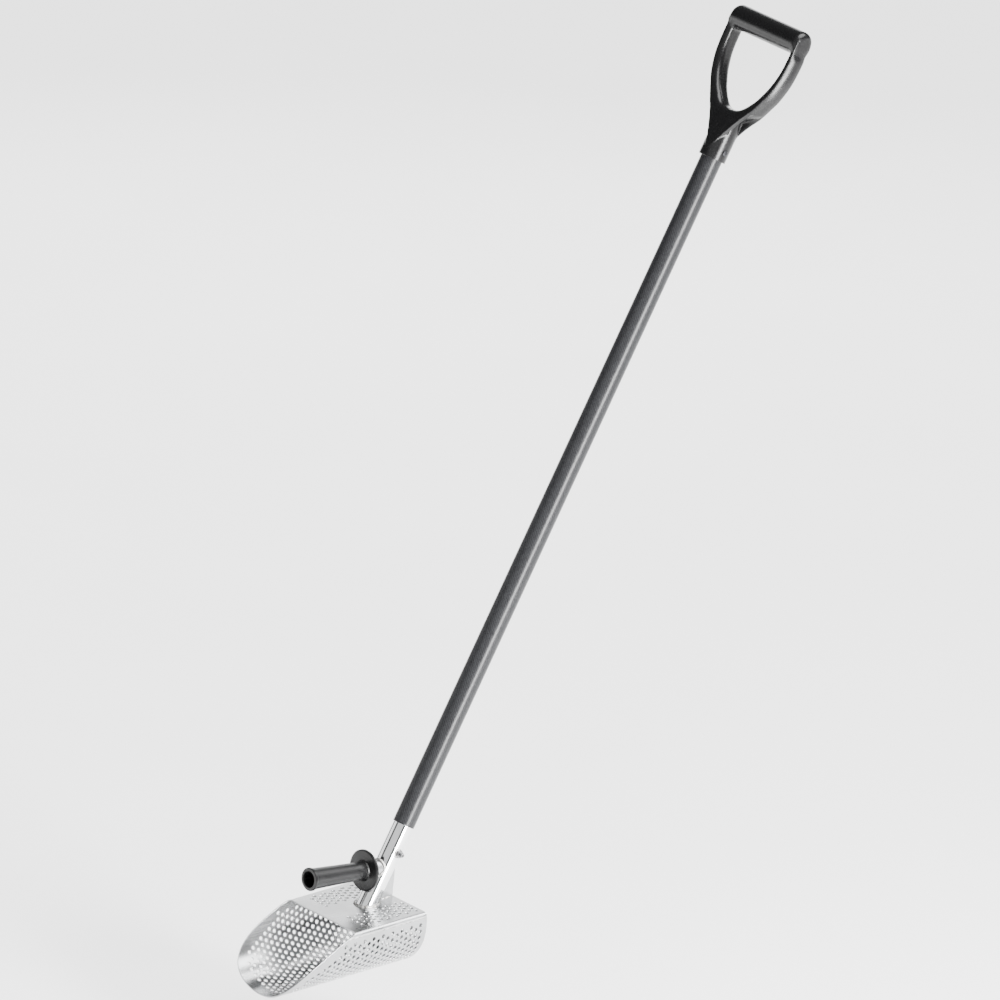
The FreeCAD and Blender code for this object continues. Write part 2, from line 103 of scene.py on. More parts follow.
POLE_AXIS = -Vector(joints["head_slide"]["axis"])
POLE_FOOT = centre("carbon_pole") - POLE_AXIS * ((centre("carbon_pole").z - TOP_Z) / POLE_AXIS.z)
POLE_FRONT = X.cross(POLE_AXIS)
GRIP_AXIS = Vector(joints["grip_turn"]["axis"])
GRIP_CENTRE = Vector(joints["grip_turn"]["pos_m"])
CLAMP_CENTRE = Vector(joints["clamp_turn"]["pos_m"])

# ---- sizes that the finer pieces share with the CAD model ------------------------------------

SHEET = 2.0 * MM                 # thickness of the trough and the plates
EDGE_ROUND = 0.3 * MM            # bevel along every cut edge
SHOULDER_RADIUS = 5.0 * MM
PLATE_LENGTH = 130.0 * MM
LIP_DEPTH = 88.0 * MM            # depth at which the lip's curve has become vertical
HOLE_RADIUS = 2.9 * MM
HOLE_PITCH = 10.0 * MM
HOLE_SEGMENTS = 24
LIP_MARGIN = 15.0 * MM           # lip edge to nearest hole centre
SIDE_MARGIN = 16.0 * MM          # top face to nearest hole centre on the walls
REAR_MARGIN = 11.0 * MM          # rear edge to nearest hole centre
REAR_TOP_MARGIN = 16.0 * MM      # top of the rear plate to its first row of holes
STRIP_HALF_WIDTH = 22.0 * MM     # plain strip along the middle of the top plate
EDGE_MARGIN = 13.0 * MM          # side of the top plate to nearest hole centre
FRONT_MARGIN = 26.0 * MM         # front of the top plate to nearest hole centre
PLATE_HOLE_SHIFT = 3.0 * MM      # the top plate's holes start this much nearer the rear edge
TUBE_RADIUS = 15.0 * MM
BOSS_RADIUS = 12.0 * MM
NUT_WELD_RADIUS = 5.9 * MM

# radii of the weld beads
FOOT_BEAD = 2.3 * MM
BOSS_BEAD = 2.2 * MM
NUT_BEAD = 1.2 * MM
GUSSET_PLATE_BEAD = 1.5 * MM
GUSSET_TUBE_BEAD = 1.4 * MM
REAR_BEAD = 1.5 * MM
SEAM_BEAD = 0.8 * MM
RING_STEPS = 260


# ---- mesh helpers ----------------------------------------------------------------------------

def add_object(name, mesh, body, material):
    """Put a finished mesh in the scene as a piece that rides on a CAD body."""
    piece = bpy.data.objects.new(name, mesh)
    bpy.context.scene.collection.objects.link(piece)
    mesh.materials.append(material)
    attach(piece, body)
    return piece


def outward(mesh):
    """Turn every face of a closed mesh outward and shade it smooth."""
    work = bmesh.new()
    work.from_mesh(mesh)
    bmesh.ops.recalc_face_normals(work, faces=work.faces)
    work.to_mesh(mesh)
    work.free()
    mesh.shade_smooth()


def placed(origin, x, y, z):
    """A matrix with the given origin and local axes."""
    return Matrix.Translation(origin) @ Matrix((x, y, z)).transposed().to_4x4()


def turned(axis, across):
    """A matrix whose local Z runs along an axis and whose local X is nearest to across."""
    z = axis.normalized()
    x = (across - z * across.dot(z)).normalized()
    return Matrix((x, z.cross(x), z)).transposed()


def implicit_mesh(name, field, lowest, highest, step, place):
    """A closed mesh of the surface where field(x, y, z) is zero; the field is negative inside.

    One vertex goes in each cell that the surface crosses, and normals come from the field.
    """
    lines = [np.arange(a, b + step, step) for a, b in zip(lowest, highest)]
    value = field(*np.meshgrid(*lines, indexing="ij", sparse=True))
    corners = np.stack(np.meshgrid(*lines, indexing="ij"), axis=-1)
    cells = np.array(value.shape) - 1
    total = np.zeros((*cells, 3))
    count = np.zeros(cells)
    crossings = []
    for axis in range(3):
        start = [slice(None)] * 3
        end = [slice(None)] * 3
        start[axis] = slice(0, -1)
        end[axis] = slice(1, None)
        a = value[tuple(start)]
        b = value[tuple(end)]
        crossed = (a < 0) != (b < 0)
        point = corners[tuple(start)].copy()
        point[..., axis] += np.where(crossed, a / np.where(crossed, a - b, 1), 0) * step
        crossings.append((crossed, a < 0))
        others = [k for k in range(3) if k != axis]
        for first in (0, 1):
            for second in (0, 1):
                part = [slice(None)] * 3
                part[others[0]] = slice(first, first + cells[others[0]])
                part[others[1]] = slice(second, second + cells[others[1]])
                hit = crossed[tuple(part)]
                total += point[tuple(part)] * hit[..., None]
                count += hit
    used = count > 0
    index = np.full(cells, -1)
    index[used] = np.arange(used.sum())
    middle = total[used] / count[used][:, None]

    faces = []
    for axis, (crossed, inside_first) in enumerate(crossings):
        u, v = [k for k in range(3) if k != axis]
        where = np.argwhere(crossed)
        ring = []
        for du, dv in ((-1, -1), (0, -1), (0, 0), (-1, 0)):
            cell = where.copy()
            cell[:, u] += du
            cell[:, v] += dv
            ring.append(index[tuple(cell.T)])
        quads = np.stack(ring, axis=1)
        flip = inside_first[tuple(where.T)] == (axis == 1)
        quads[flip] = quads[flip][:, ::-1]
        faces.append(quads)

    # the field's slope at each vertex gives its exact normal
    nudge = step * 0.15
    slope = []
    for axis in range(3):
        offset = np.zeros(3)
        offset[axis] = nudge
        slope.append(field(*(middle + offset).T) - field(*(middle - offset).T))
    slope = np.stack(slope, axis=1)
    slope /= np.linalg.norm(slope, axis=1)[:, None]
    mesh = bpy.data.meshes.new(name)
    mesh.from_pydata([place @ Vector(p) for p in middle], [], np.concatenate(faces).tolist())
    outward(mesh)
    turn = place.to_3x3().normalized()
    mesh.normals_split_custom_set_from_vertices([turn @ Vector(n) for n in slope])
    return mesh


def soft_max(a, b, reach):
    """The larger of two fields, with the edge between them rounded."""
    near = np.maximum(reach - np.abs(a - b), 0) / reach
    return np.maximum(a, b) + near * near * reach / 4


def soft_min(a, b, reach):
    """The smaller of two fields, with the corner between them filled."""
    return -soft_max(-a, -b, reach)


def curve_through(points, steps=6):
    """Points on a smooth curve through the given points."""
    result = []
    for i in range(len(points) - 1):
        p0 = Vector(points[max(i - 1, 0)])
        p1 = Vector(points[i])
        p2 = Vector(points[i + 1])
        p3 = Vector(points[min(i + 2, len(points) - 1)])
        for k in range(steps):
            t = k / steps
            result.append(0.5 * (2 * p1 + (p2 - p0) * t + (2 * p0 - 5 * p1 + 4 * p2 - p3) * t * t
                                 + (3 * p1 - p0 - 3 * p2 + p3) * t ** 3))
    result.append(Vector(points[-1]))
    return np.array([tuple(p) for p in result])


def distance_to(curve, x, s):
    """Shortest distance in the (x, s) plane from each point to a curve."""
    best = np.full(np.broadcast(x, s).shape, 1e9)
    for a, b in zip(curve[:-1], curve[1:]):
        line = b - a
        t = np.clip(((x - a[0]) * line[0] + (s - a[1]) * line[1]) / (line @ line), 0, 1)
        best = np.minimum(best, np.hypot(x - a[0] - line[0] * t, s - a[1] - line[1] * t))
    return best


def smooth_step(value, start, end):
    """0 at start, 1 at end, with an eased run between them."""
    t = np.clip((value - start) / (end - start), 0, 1)
    return t * t * (3 - 2 * t)


# ---- perforated sheet metal ------------------------------------------------------------------

def closed_inset(loop, distance):
    """Move each point of a counter-clockwise loop inward by a distance."""
    result = []
    count = len(loop)
    for i in range(count):
        before = Vector(loop[i]) - Vector(loop[i - 1])
        after = Vector(loop[(i + 1) % count]) - Vector(loop[i])
        along = before.normalized() + after.normalized()
        left = Vector((-along.y, along.x)).normalized()
        stretch = 1 / max(0.5, left.dot(Vector((-before.y, before.x)).normalized()))
        point = Vector(loop[i]) + left * distance * stretch
        result.append((point.x, point.y))
    return result


def circle(middle, radius):
    """Points round a hole."""
    points = []
    for i in range(HOLE_SEGMENTS):
        angle = 2 * math.pi * i / HOLE_SEGMENTS
        points.append((middle[0] + radius * math.cos(angle), middle[1] + radius * math.sin(angle)))
    return points


def lattice(columns, rows):
    """Staggered lattice points: columns stand apart in v, rows run along u."""
    step = HOLE_PITCH * math.sqrt(3) / 2
    for column in range(columns):
        stagger = HOLE_PITCH / 2 * (column % 2)
        for row in range(-rows, rows + 1):
            yield row * HOLE_PITCH + stagger, column * step


def segment_distance(point, loop):
    """Shortest distance from a point to a closed loop of points."""
    best = 1.0
    for i in range(len(loop)):
        a = Vector(loop[i - 1])
        b = Vector(loop[i])
        line = b - a
        t = max(0.0, min(1.0, (Vector(point) - a).dot(line) / line.length_squared))
        best = min(best, (Vector(point) - a - line * t).length)
    return best


def inside(point, loop):
    """True when a point lies inside a closed loop."""
    u, v = point
    result = False
    for i in range(len(loop)):
        u0, v0 = loop[i - 1]
        u1, v1 = loop[i]
        if (v0 > v) != (v1 > v) and u < u0 + (v - v0) / (v1 - v0) * (u1 - u0):
            result = not result
    return result


def sheet_mesh(name, outline, centres, surface):
    """Sheet metal with round holes. surface(u, v) gives a point and its outward normal."""
    points = []
    walls = []
    loops = []

    def add_loop(face_loop, wall_loop):
        start = len(points)
        points.extend(face_loop)
        walls.extend(wall_loop)
        loops.append(list(range(start, start + len(face_loop))))

    add_loop(closed_inset(outline, EDGE_ROUND), outline)
    for middle in centres:
        add_loop(circle(middle, HOLE_RADIUS + EDGE_ROUND), circle(middle, HOLE_RADIUS))
    constraints = []
    for loop in loops:
        for i in range(len(loop)):
            constraints.append((loop[i], loop[(i + 1) % len(loop)]))

    # filler points keep the triangles small between the holes and in the plain borders
    u_values = [p[0] for p in outline]
    v_values = [p[1] for p in outline]
    step = HOLE_PITCH / 2
    hole_room = HOLE_RADIUS + 1.2 * MM
    edge_room = 1.5 * MM
    v = min(v_values)
    while v < max(v_values):
        u = min(u_values)
        while u < max(u_values):
            near_hole = any(math.hypot(u - a, v - b) < hole_room for a, b in centres)
            in_sheet = not near_hole and inside((u, v), outline)
            if in_sheet and segment_distance((u, v), outline) > edge_room:
                points.append((u, v))
            u += step
        v += step * math.sqrt(3) / 2

    scaled = [Vector(p) / MM for p in points]
    flat, _, triangles, sources, _, _ = geometry.delaunay_2d_cdt(scaled, constraints, [], 1, 1e-5)
    output = {}
    for i, inputs in enumerate(sources):
        for source in inputs:
            output[source] = i

    def place(u, v, depth):
        point, normal = surface(u, v)
        return point - normal * depth

    # the thinnest triangle inside a hole has its middle just within this radius
    hole_reach = (HOLE_RADIUS + EDGE_ROUND) * 0.985
    count = len(flat)
    verts = [place(p.x * MM, p.y * MM, 0) for p in flat]
    verts += [place(p.x * MM, p.y * MM, SHEET) for p in flat]
    normals = [surface(p.x * MM, p.y * MM)[1] for p in flat]
    faces = []
    sides = []
    for triangle in triangles:
        middle = sum((flat[i] for i in triangle), Vector((0, 0))) / 3 * MM
        if any((middle - Vector(c)).length < hole_reach for c in centres):
            continue
        faces.append(tuple(triangle))
        faces.append(tuple(i + count for i in reversed(triangle)))
        sides += [1, -1]
    for loop in loops:
        ring = []
        for i in loop:
            u, v = walls[i]
            ring.append((output[i], len(verts), len(verts) + 1, output[i] + count))
            verts.append(place(u, v, EDGE_ROUND))
            verts.append(place(u, v, SHEET - EDGE_ROUND))
        for i in range(len(ring)):
            a = ring[i]
            b = ring[(i + 1) % len(ring)]
            for k in range(3):
                faces.append((a[k], a[k + 1], b[k + 1], b[k]))
                sides.append(0)

    mesh = bpy.data.meshes.new(name)
    mesh.from_pydata(verts, [], faces)
    side = mesh.attributes.new("side", "INT", "FACE")
    side.data.foreach_set("value", sides)
    outward(mesh)
    exact = []
    for polygon in mesh.polygons:
        sign = mesh.attributes["side"].data[polygon.index].value
        for index in polygon.vertices:
            exact.append(normals[index % count] * sign if sign else Vector((0, 0, 0)))
    mesh.normals_split_custom_set(exact)
    return mesh


def lip_v(z):
    """Distance from the rear edge to the lip at a height, along the sheet."""
    t = 1 - min((TOP_Z - z) / LIP_DEPTH, 1.0)
    reach = REAR_Y - LIP_TIP_Y - PLATE_LENGTH
    return PLATE_LENGTH + reach * (1 - t * t)


ROUND_CENTRE_Z = BOTTOM_Z + HALF_WIDTH
QUARTER = math.pi / 2 * HALF_WIDTH
WALL_TOP_U = QUARTER + SEAM_Z - ROUND_CENTRE_Z


def trough_surface(u, v):
    """u runs round the trough from its bottom line, v forward from its rear edge."""
    y = REAR_Y - v
    if abs(u) <= QUARTER:
        angle = u / HALF_WIDTH
        normal = Vector((math.sin(angle), 0, -math.cos(angle)))
        return Vector((0, y, ROUND_CENTRE_Z)) + normal * HALF_WIDTH, normal
    side = math.copysign(1, u)
    return Vector((side * HALF_WIDTH, y, ROUND_CENTRE_Z + abs(u) - QUARTER)), X * side


FLAT_HALF = HALF_WIDTH - SHOULDER_RADIUS
SHOULDER_ARC = math.pi / 2 * SHOULDER_RADIUS
PLATE_EDGE_U = FLAT_HALF + SHOULDER_ARC + TOP_Z - SHOULDER_RADIUS - SEAM_Z


def plate_surface(u, v):
    """u runs across the top plate and down its bent sides, v forward from its rear edge."""
    y = REAR_Y - v
    side = math.copysign(1, u)
    past = abs(u) - FLAT_HALF
    if past <= 0:
        return Vector((u, y, TOP_Z)), Z.copy()
    if past <= SHOULDER_ARC:
        angle = past / SHOULDER_RADIUS
        normal = Vector((side * math.sin(angle), 0, math.cos(angle)))
        return Vector((side * FLAT_HALF, y, TOP_Z - SHOULDER_RADIUS)) + normal * SHOULDER_RADIUS, normal
    return Vector((side * HALF_WIDTH, y, TOP_Z - SHOULDER_RADIUS - past + SHOULDER_ARC)), X * side


def spaced(start, end, step):
    """Evenly spaced values from start up to, not including, end."""
    count = max(1, round(abs(end - start) / step))
    return [start + (end - start) * i / count for i in range(count)]


def sheet_outline(edge_u, surface, front):
    """Counter-clockwise outline of a bent sheet whose front edge is v = front(z)."""
    step = 2.5 * MM
    front_side = front(surface(edge_u, 0)[0].z)
    outline = [(u, 0.0) for u in spaced(-edge_u, edge_u, step)]
    outline += [(edge_u, v) for v in spaced(0, front_side, step)]
    outline += [(u, front(surface(u, 0)[0].z)) for u in spaced(edge_u, -edge_u, step)]
    outline += [(-edge_u, v) for v in spaced(front_side, 0, step)]
    return outline


# each lattice starts larger than its sheet and is trimmed to the margins

def trough_centres(outline):
    """Hole centres on the trough."""
    u_limit = QUARTER + TOP_Z - ROUND_CENTRE_Z - SIDE_MARGIN
    lip = [(u, lip_v(trough_surface(u, 0)[0].z)) for u in spaced(-u_limit, u_limit, 2 * MM)]
    centres = []
    for u, forward in lattice(30, 14):
        v = forward + REAR_MARGIN
        lip_distance = min(math.hypot(u - a, v - b) for a, b in lip)
        if abs(u) <= u_limit and lip_distance >= LIP_MARGIN and inside((u, v), outline):
            centres.append((u, v))
    return centres


def plate_centres():
    """Hole centres in the two fields of the top plate."""
    centres = []
    for u, forward in lattice(12, 8):
        v = forward + REAR_MARGIN - PLATE_HOLE_SHIFT
        in_field = STRIP_HALF_WIDTH <= abs(u) <= HALF_WIDTH - EDGE_MARGIN
        if in_field and v <= PLATE_LENGTH - FRONT_MARGIN:
            centres.append((u, v))
    return centres


def rear_surface(u, v):
    """u runs across the rear plate, v down from the top face."""
    return Vector((u, REAR_Y, TOP_Z - v)), Y.copy()


def rear_outline():
    """The rear plate's outline: flat top, straight sides and a half-round bottom."""
    half = HALF_WIDTH - SHEET
    straight = TOP_Z - ROUND_CENTRE_Z
    corner = 3 * MM
    cut = 0.9 * MM
    outline = [(u, SHEET) for u in spaced(-half + corner, half - corner, corner)]
    outline += [(half - corner, SHEET), (half - cut, SHEET + cut), (half, SHEET + corner)]
    outline += [(half, v) for v in spaced(SHEET + 2 * corner, straight, corner)]
    outline += [(half * math.cos(a), straight + half * math.sin(a)) for a in spaced(0, math.pi, 0.035)]
    outline += [(-half, v) for v in spaced(straight, SHEET + corner, corner)]
    outline += [(-half, SHEET + corner), (-half + cut, SHEET + cut)]
    return outline


def rear_centres():
    """Hole centres on the rear plate."""
    centres = []
    for u, down in lattice(10, 8):
        v = down + REAR_TOP_MARGIN
        below = max(v - (TOP_Z - ROUND_CENTRE_Z), 0)
        if math.hypot(u, below) <= HALF_WIDTH - SHEET - REAR_MARGIN:
            centres.append((u, v))
    return centres


# ---- weld beads ------------------------------------------------------------------------------

def bead_mesh(name, path, ups, radius, closed, ripple=1.5 * MM):
    """A weld bead along a path: a flattened tube with overlapping ripples and uneven edges."""
    lengths = [0.0]
    for i in range(1, len(path)):
        lengths.append(lengths[-1] + (path[i] - path[i - 1]).length)
    segments = 14
    verts = []
    count = len(path)
    for i in range(count):
        before = path[i - 1] if closed or i else path[0]
        after = path[(i + 1) % count] if closed or i < count - 1 else path[-1]
        along = (after - before).normalized()
        up = (ups[i] - along * ups[i].dot(along)).normalized()
        side = along.cross(up)
        wave = 1 - abs((lengths[i] / ripple) % 1.0 - 0.35)
        uneven = noise.noise(path[i] * 210) * 0.34
        size = radius * (0.8 + 0.09 * wave + uneven)
        if not closed:
            taper = min(lengths[i], lengths[-1] - lengths[i]) / (1.5 * radius)
            size *= math.sqrt(min(1.0, taper * taper * 0.9 + 0.1))
        for k in range(segments):
            angle = 2 * math.pi * k / segments
            lump = 1 + 0.06 * noise.noise(path[i] * 520 + Vector((k, 0, 0)) * 0.7)
            offset = side * math.cos(angle) * size * 1.12 + up * math.sin(angle) * size * 0.85
            verts.append(path[i] + offset * lump)
    faces = []
    rows = count if closed else count - 1
    for row in range(rows):
        next_row = (row + 1) % count
        for k in range(segments):
            j = (k + 1) % segments
            faces.append((row * segments + k, row * segments + j,
                          next_row * segments + j, next_row * segments + k))
    if not closed:
        faces.append(tuple(range(segments)))
        faces.append(tuple(range((count - 1) * segments, count * segments)))
    mesh = bpy.data.meshes.new(name)
    mesh.from_pydata(verts, [], faces)
    outward(mesh)
    return mesh


def joined(name, meshes):
    """One mesh from several."""
    work = bmesh.new()
    for mesh in meshes:
        work.from_mesh(mesh)
        bpy.data.meshes.remove(mesh)
    result = bpy.data.meshes.new(name)
    work.to_mesh(result)
    work.free()
    result.shade_smooth()
    return result


def on_tube(origin, direction, gap):
    """The point where a line from near the pole's axis leaves the socket tube by a gap."""
    offset = origin - POLE_FOOT
    across = direction - POLE_AXIS * direction.dot(POLE_AXIS)
    start = offset - POLE_AXIS * offset.dot(POLE_AXIS)
    a = across.length_squared
    b = 2 * across.dot(start)
    c = start.length_squared - (TUBE_RADIUS + gap) ** 2
    t = (-b + math.sqrt(b * b - 4 * a * c)) / (2 * a)
    return origin + direction * t


def ring_on_tube(axis, middle, radius, gap, steps):
    """A closed path on the socket tube, at a radius round an axis that leaves it."""
    across = X if abs(axis.dot(X)) < 0.5 else POLE_AXIS
    turn = turned(axis, across)
    on_axis = middle - axis * (middle - POLE_FOOT).dot(axis)
    path = []
    ups = []
    for i in range(steps):
        angle = 2 * math.pi * i / steps
        spoke = turn @ Vector((math.cos(angle), math.sin(angle), 0))
        point = on_tube(on_axis + spoke * radius, axis, gap)
        away = point - POLE_FOOT
        path.append(point)
        ups.append((away - POLE_AXIS * away.dot(POLE_AXIS)).normalized() + spoke)
    return path, ups


def straight_path(start, end, step=0.35 * MM):
    """Evenly spaced points from start to end."""
    count = max(2, round((end - start).length / step))
    return [start.lerp(end, i / count) for i in range(count + 1)]


def foot_path():
    """The ellipse round the tube's foot, on the top plate."""
    path = []
    ups = []
    reach = TUBE_RADIUS + 0.9 * MM
    for i in range(RING_STEPS):
        angle = 2 * math.pi * i / RING_STEPS
        point = POLE_FOOT + X * math.cos(angle) * reach + Y * math.sin(angle) * reach / POLE_AXIS.z
        path.append(point + Z * 0.6 * MM)
        ups.append(Z + (point - POLE_FOOT).normalized() * 0.6)
    return path, ups


def rear_path():
    """Down one side of the rear plate, round its bottom and up the other side."""
    half = HALF_WIDTH - SHEET
    step = 0.4 * MM
    path = [Vector((half, REAR_Y, z)) for z in spaced(SEAM_Z, ROUND_CENTRE_Z, step)]
    for angle in spaced(0, math.pi, step / half):
        path.append(Vector((half * math.cos(angle), REAR_Y, ROUND_CENTRE_Z - half * math.sin(angle))))
    path += [Vector((-half, REAR_Y, z)) for z in spaced(ROUND_CENTRE_Z, SEAM_Z, step)]
    return path


# ---- materials -------------------------------------------------------------------------------

class Surface:
    """A node material built step by step, with one Principled shader."""

    def __init__(self, name, colour, metallic=0.0, roughness=0.5):
        self.material = bpy.data.materials.new(name)
        self.material.use_nodes = True
        self.tree = self.material.node_tree
        self.shader = self.tree.nodes["Principled BSDF"]
        self.shader.inputs["Base Color"].default_value = (*colour, 1)
        self.shader.inputs["Metallic"].default_value = metallic
        self.shader.inputs["Roughness"].default_value = roughness
        self.place = self.node("ShaderNodeTexCoord").outputs["Object"]

    def node(self, kind, inputs=None, **settings):
        """A new node with its settings, and with its inputs linked or set."""
        made = self.tree.nodes.new(kind)
        for key, value in settings.items():
            setattr(made, key, value)
        for key, value in (inputs or {}).items():
            self.feed(made.inputs[key], value)
        return made

    def feed(self, socket, value):
        """Link a socket, or set it to a constant."""
        if isinstance(value, bpy.types.NodeSocket):
            self.tree.links.new(value, socket)
        else:
            socket.default_value = value

    def math(self, operation, *values):
        """One arithmetic node."""
        made = self.node("ShaderNodeMath", operation=operation)
        for i, value in enumerate(values):
            self.feed(made.inputs[i], value)
        return made.outputs[0]

    def mapped(self, scale, rotation=(0, 0, 0)):
        """Object coordinates, turned and stretched."""
        made = self.node("ShaderNodeMapping", {"Vector": self.place, "Scale": scale,
                                               "Rotation": rotation})
        return made.outputs[0]

    def noise(self, scale, detail=4.0, where=None, roughness=0.5):
        """Soft noise in object coordinates."""
        made = self.node("ShaderNodeTexNoise", {"Vector": where or self.place, "Scale": scale,
                                                "Detail": detail, "Roughness": roughness})
        return made.outputs["Fac"]

    def ramp(self, value, low_value, high_value, start=0.35, end=0.65):
        """A value spread from one range to another, and held at its ends."""
        made = self.node("ShaderNodeMapRange", {"Value": value, "From Min": start, "From Max": end,
                                                "To Min": low_value, "To Max": high_value})
        return made.outputs[0]

    def blend(self, factor, colour_a, colour_b):
        """A mix of two colours."""
        made = self.node("ShaderNodeMix", data_type="RGBA")
        self.feed(made.inputs["Factor"], factor)
        for socket, colour in ((made.inputs[6], colour_a), (made.inputs[7], colour_b)):
            self.feed(socket, colour if isinstance(colour, bpy.types.NodeSocket) else (*colour, 1))
        return made.outputs[2]

    def colour(self, value):
        self.feed(self.shader.inputs["Base Color"], value)

    def roughness(self, value):
        self.feed(self.shader.inputs["Roughness"], value)

    def bump(self, height, distance, strength=1.0):
        """Add a bump, stacked on any bump already there."""
        made = self.node("ShaderNodeBump", {"Height": height, "Distance": distance, "Strength": strength})
        before = self.shader.inputs["Normal"].links
        if before:
            self.tree.links.new(before[0].from_socket, made.inputs["Normal"])
        self.tree.links.new(made.outputs[0], self.shader.inputs["Normal"])


def sheet_steel(name, colour, roughness):
    """Satin stainless sheet with long rolling streaks and a cloudy, handled finish."""
    s = Surface(name, colour, metallic=1.0, roughness=roughness)
    streaks = s.noise(1.0, 3.0, s.mapped((900, 14, 900)))
    fine = s.noise(1.0, 2.0, s.mapped((2600, 60, 2600)))
    clouds = s.noise(22.0, 3.0)
    tint = s.blend(s.ramp(clouds, 0, 1), [c * 0.92 for c in colour], [min(c * 1.04, 1) for c in colour])
    s.colour(s.blend(s.ramp(streaks, 0, 0.2), tint, [c * 0.86 for c in colour]))
    rough = s.math("ADD", s.ramp(clouds, -0.05, 0.06), s.ramp(streaks, roughness - 0.01, roughness + 0.02))
    s.roughness(rough)
    s.bump(s.math("ADD", streaks, s.math("MULTIPLY", fine, 0.6)), 0.000012, 0.4)
    return s.material


def polished_steel(name):
    """Mirror-polished tube with faint draw lines."""
    s = Surface(name, (0.86, 0.87, 0.88), metallic=1.0, roughness=0.07)
    lines = s.noise(1.0, 2.0, s.mapped((1500, 1500, 10), rotation=(math.radians(-30), 0, 0)))
    smudges = s.noise(45.0, 3.0)
    s.roughness(s.math("ADD", s.ramp(smudges, 0.05, 0.1), s.ramp(lines, 0.0, 0.03)))
    s.colour(s.blend(s.ramp(smudges, 0, 1), (0.83, 0.84, 0.85), (0.89, 0.9, 0.9)))
    s.bump(lines, 0.000006, 0.4)
    return s.material


def weld_steel(name):
    """Silvery weld metal with ripples, pits and faint straw tint."""
    s = Surface(name, (0.5, 0.5, 0.49), metallic=1.0, roughness=0.4)
    pits = s.noise(1100.0, 3.0)
    patches = s.noise(160.0, 3.0)
    s.colour(s.blend(s.ramp(patches, 0, 1), (0.56, 0.56, 0.55), (0.2, 0.19, 0.175)))
    s.roughness(s.ramp(pits, 0.3, 0.6))
    s.bump(pits, 0.00012, 0.6)
    return s.material


def turned_steel(name, colour=(0.62, 0.63, 0.64)):
    """Machined fastener steel with fine tool marks and dulled patches."""
    s = Surface(name, colour, metallic=1.0, roughness=0.3)
    marks = s.noise(1.0, 2.0, s.mapped((3800, 700, 700)))
    dull = s.noise(260.0, 3.0)
    s.colour(s.blend(s.ramp(dull, 0, 1), [c * 0.8 for c in colour], colour))
    s.roughness(s.math("ADD", s.ramp(dull, 0.22, 0.36), s.ramp(marks, -0.03, 0.05)))
    s.bump(marks, 0.00003, 0.5)
    return s.material


def moulded_plastic(name, colour, roughness, grain_scale):
    """Black moulded plastic with a fine spark-eroded grain."""
    s = Surface(name, colour, roughness=roughness)
    s.shader.inputs["Specular IOR Level"].default_value = 0.28
    grain = s.noise(grain_scale, 3.0, roughness=0.6)
    waves = s.noise(60.0, 2.0)
    s.colour(s.blend(s.ramp(grain, 0, 1), [c * 0.75 for c in colour], [c * 1.35 for c in colour]))
    s.roughness(s.math("ADD", s.ramp(grain, roughness - 0.05, roughness + 0.07), s.ramp(waves, -0.04, 0.04)))
    s.bump(grain, 0.00008, 0.55)
    s.bump(waves, 0.0004, 0.12)
    return s.material


